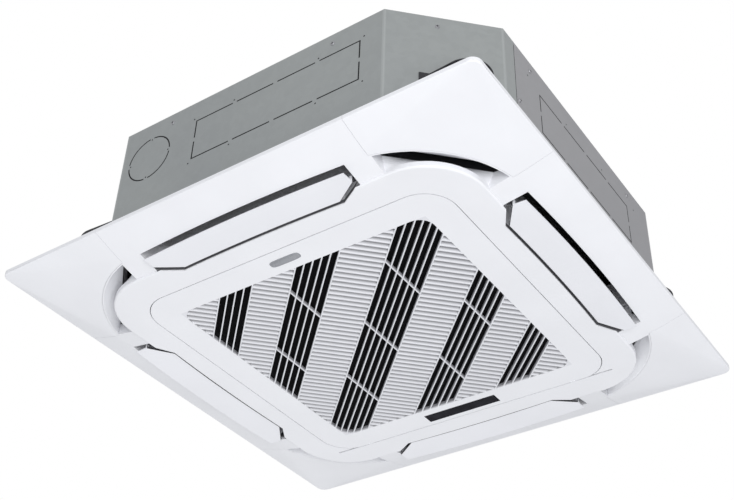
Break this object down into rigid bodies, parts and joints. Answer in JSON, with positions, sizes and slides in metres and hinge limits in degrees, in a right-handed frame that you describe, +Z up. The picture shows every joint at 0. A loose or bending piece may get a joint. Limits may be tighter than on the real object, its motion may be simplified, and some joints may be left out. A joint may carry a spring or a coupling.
{
  "type": "ceiling cassette air conditioner",
  "caption": "Four-way ceiling cassette air conditioner with a steel body, a moulded panel with flaps and corner outlets, and a hinged diagonal grille.",
  "frame": {"origin": "centre of the four hanger slots, on the underside of the hanger brackets", "axes": "+Z up towards the ceiling void, -Y towards the front side with the plate on the grille, +X to the right side; the pipes leave at -X"},
  "size_m": [0.95, 0.95, 0.3061],
  "materials": {
    "galvanised_steel": "galvanised sheet, satin",
    "bracket_steel": "black painted",
    "white_plastic": "fine satin moulding",
    "flap_plastic": "fine satin moulding",
    "filter_black": "matt",
    "foam": "expanded foam",
    "pan_foam": "expanded foam",
    "gasket_foam": "soft foam",
    "coil_aluminium": "fins",
    "copper": "bare tube",
    "brass_fitting": "turned",
    "fan_plastic": "moulded",
    "motor_steel": "painted",
    "bright_steel": "turned",
    "dark_rubber": "matt",
    "grey_plastic": "matt",
    "board_green": "board",
    "clear_window": "gloss"
  },
  "bodies": {
    "fixed": {"bell_mouth": "white_plastic", "cable_grommet": "dark_rubber", "casing_front_sheet": "galvanised_steel", "casing_liner": "foam", "casing_rear_sheet": "galvanised_steel", "casing_top": "galvanised_steel", "coil_end_plates": "galvanised_steel", "control_board": "board_green", "control_box": "galvanised_steel", "control_box_cover": "galvanised_steel", "corner_cover_front_left": "white_plastic", "corner_cover_front_right": "white_plastic", "corner_cover_rear_left": "white_plastic", "corner_cover_rear_right": "white_plastic", "door_catches": "grey_plastic", "drain_hose": "grey_plastic", "drain_pan": "pan_foam", "drain_pump": "grey_plastic", "drain_socket": "grey_plastic", "fan_motor": "motor_steel", "flap_bushes": "grey_plastic", "flap_motor_front": "grey_plastic", "flap_motor_left": "grey_plastic", "flap_motor_rear": "grey_plastic", "flap_motor_right": "grey_plastic", "float_switch": "grey_plastic", "gas_pipe": "copper", "gas_union": "brass_fitting", "hanger_bracket_front_left": "bracket_steel", "hanger_bracket_front_right": "bracket_steel", "hanger_bracket_rear_left": "bracket_steel", "hanger_bracket_rear_right": "bracket_steel", "heat_exchanger": "coil_aluminium", "inner_gasket": "gasket_foam", "liquid_pipe": "copper", "liquid_union": "brass_fitting", "motor_bracket": "galvanised_steel", "motor_feet": "dark_rubber", "outer_gasket": "gasket_foam", "panel_bolts": "bright_steel", "panel_frame": "white_plastic", "pipe_cover": "galvanised_steel", "pump_bracket": "galvanised_steel", "return_bends": "copper", "run_capacitor": "grey_plastic", "suction_header": "copper", "terminal_block": "grey_plastic", "top_insulation": "foam"},
    "fan": {"turbo_fan": "fan_plastic", "motor_shaft": "bright_steel", "fan_nut": "bright_steel"},
    "door": {"intake_grille": "white_plastic", "filter_frame": "filter_black", "filter_mesh": "filter_black", "display_window": "clear_window", "display_case": "grey_plastic"},
    "flap_front": {"flap_front": "flap_plastic"},
    "flap_right": {"flap_right": "flap_plastic"},
    "flap_rear": {"flap_rear": "flap_plastic"},
    "flap_left": {"flap_left": "flap_plastic"}
  },
  "joints": [
    {"name": "fan_spin", "type": "hinge", "parent": "fixed", "child": "fan", "pos_m": [0, 0, 0], "axis": [0, 0, 1], "continuous": true},
    {"name": "door_hinge", "type": "hinge", "parent": "fixed", "child": "door", "pos_m": [0, 0.30525, -0.15075], "axis": [1, 0, 0], "range_deg": [0, 90]},
    {"name": "front_flap_tilt", "type": "hinge", "parent": "fixed", "child": "flap_front", "pos_m": [0, -0.374, -0.14], "axis": [1, 0, 0], "range_deg": [-11, 45]},
    {"name": "right_flap_tilt", "type": "hinge", "parent": "fixed", "child": "flap_right", "pos_m": [0.374, 0, -0.14], "axis": [0, 1, 0], "range_deg": [-11, 45]},
    {"name": "rear_flap_tilt", "type": "hinge", "parent": "fixed", "child": "flap_rear", "pos_m": [0, 0.374, -0.14], "axis": [-1, 0, 0], "range_deg": [-11, 45]},
    {"name": "left_flap_tilt", "type": "hinge", "parent": "fixed", "child": "flap_left", "pos_m": [-0.374, 0, -0.14], "axis": [0, -1, 0], "range_deg": [-11, 45]}
  ]
}
